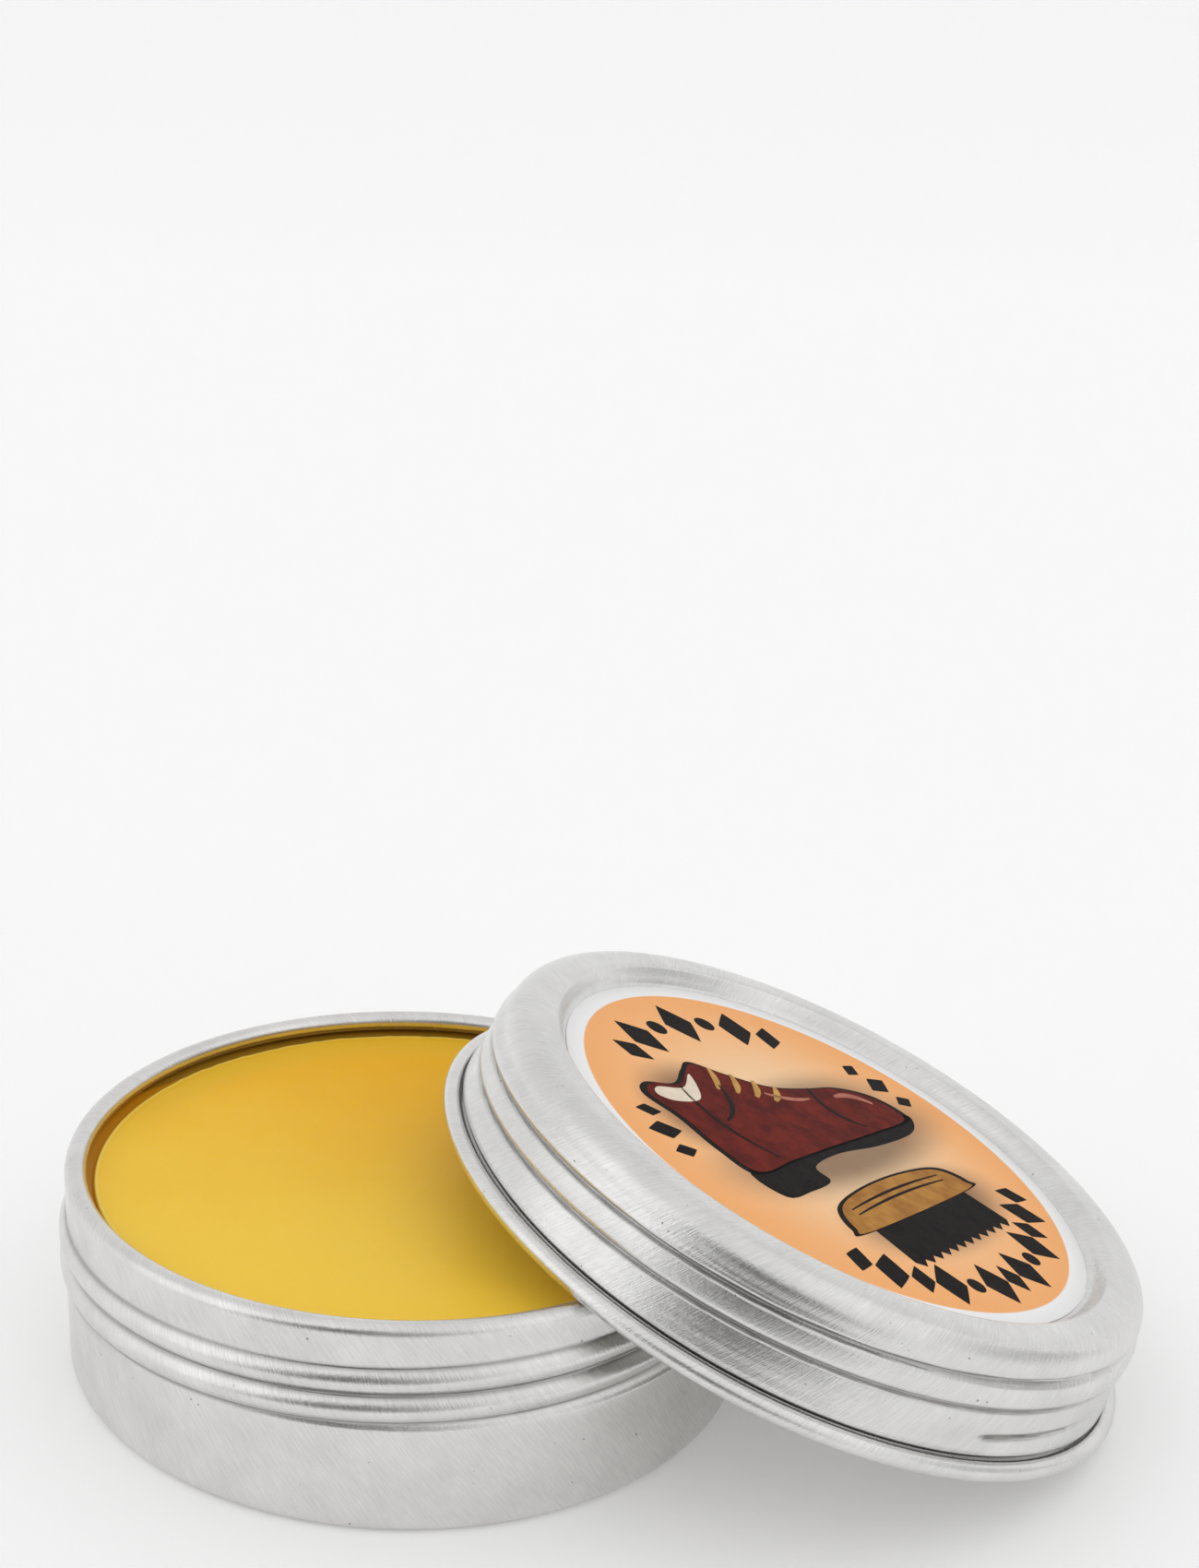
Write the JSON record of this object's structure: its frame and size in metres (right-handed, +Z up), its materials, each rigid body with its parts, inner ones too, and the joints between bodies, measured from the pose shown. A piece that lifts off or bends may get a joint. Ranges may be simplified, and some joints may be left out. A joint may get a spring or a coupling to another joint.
{
  "type": "shoe polish tin",
  "caption": "Round aluminium screw-top tin of solid polish with a rolled rim and rolled thread; the labelled lid is off and leans on the tin.",
  "frame": {"origin": "centre of the tin's underside, on the table", "axes": "+Z up along the tin's axis; +X towards the side where the lid leans; +Y completes the right-handed frame"},
  "size_m": [0.1073, 0.0728, 0.037],
  "materials": {
    "tin_metal": "satin, finely brushed",
    "polish_wax": null,
    "lid_metal": "satin, finely brushed",
    "label_paper": null,
    "liner_foam": "closed-cell foam sheet"
  },
  "bodies": {
    "tin": {"tin_base": "tin_metal", "polish_fill": "polish_wax"},
    "liner": {"lid_liner": "liner_foam"},
    "lid": {"lid_shell": "lid_metal", "lid_label": "label_paper"}
  },
  "joints": [
    {"name": "lid_lift", "type": "slide", "parent": "tin", "child": "liner", "axis": [0.3718, -0.0169, 0.9282], "range_m": [0, 0.05]},
    {"name": "lid_turn", "type": "hinge", "parent": "liner", "child": "lid", "pos_m": [0.03686, -0.00167, 0.01332], "axis": [0.3718, -0.0169, 0.9282], "continuous": true}
  ]
}
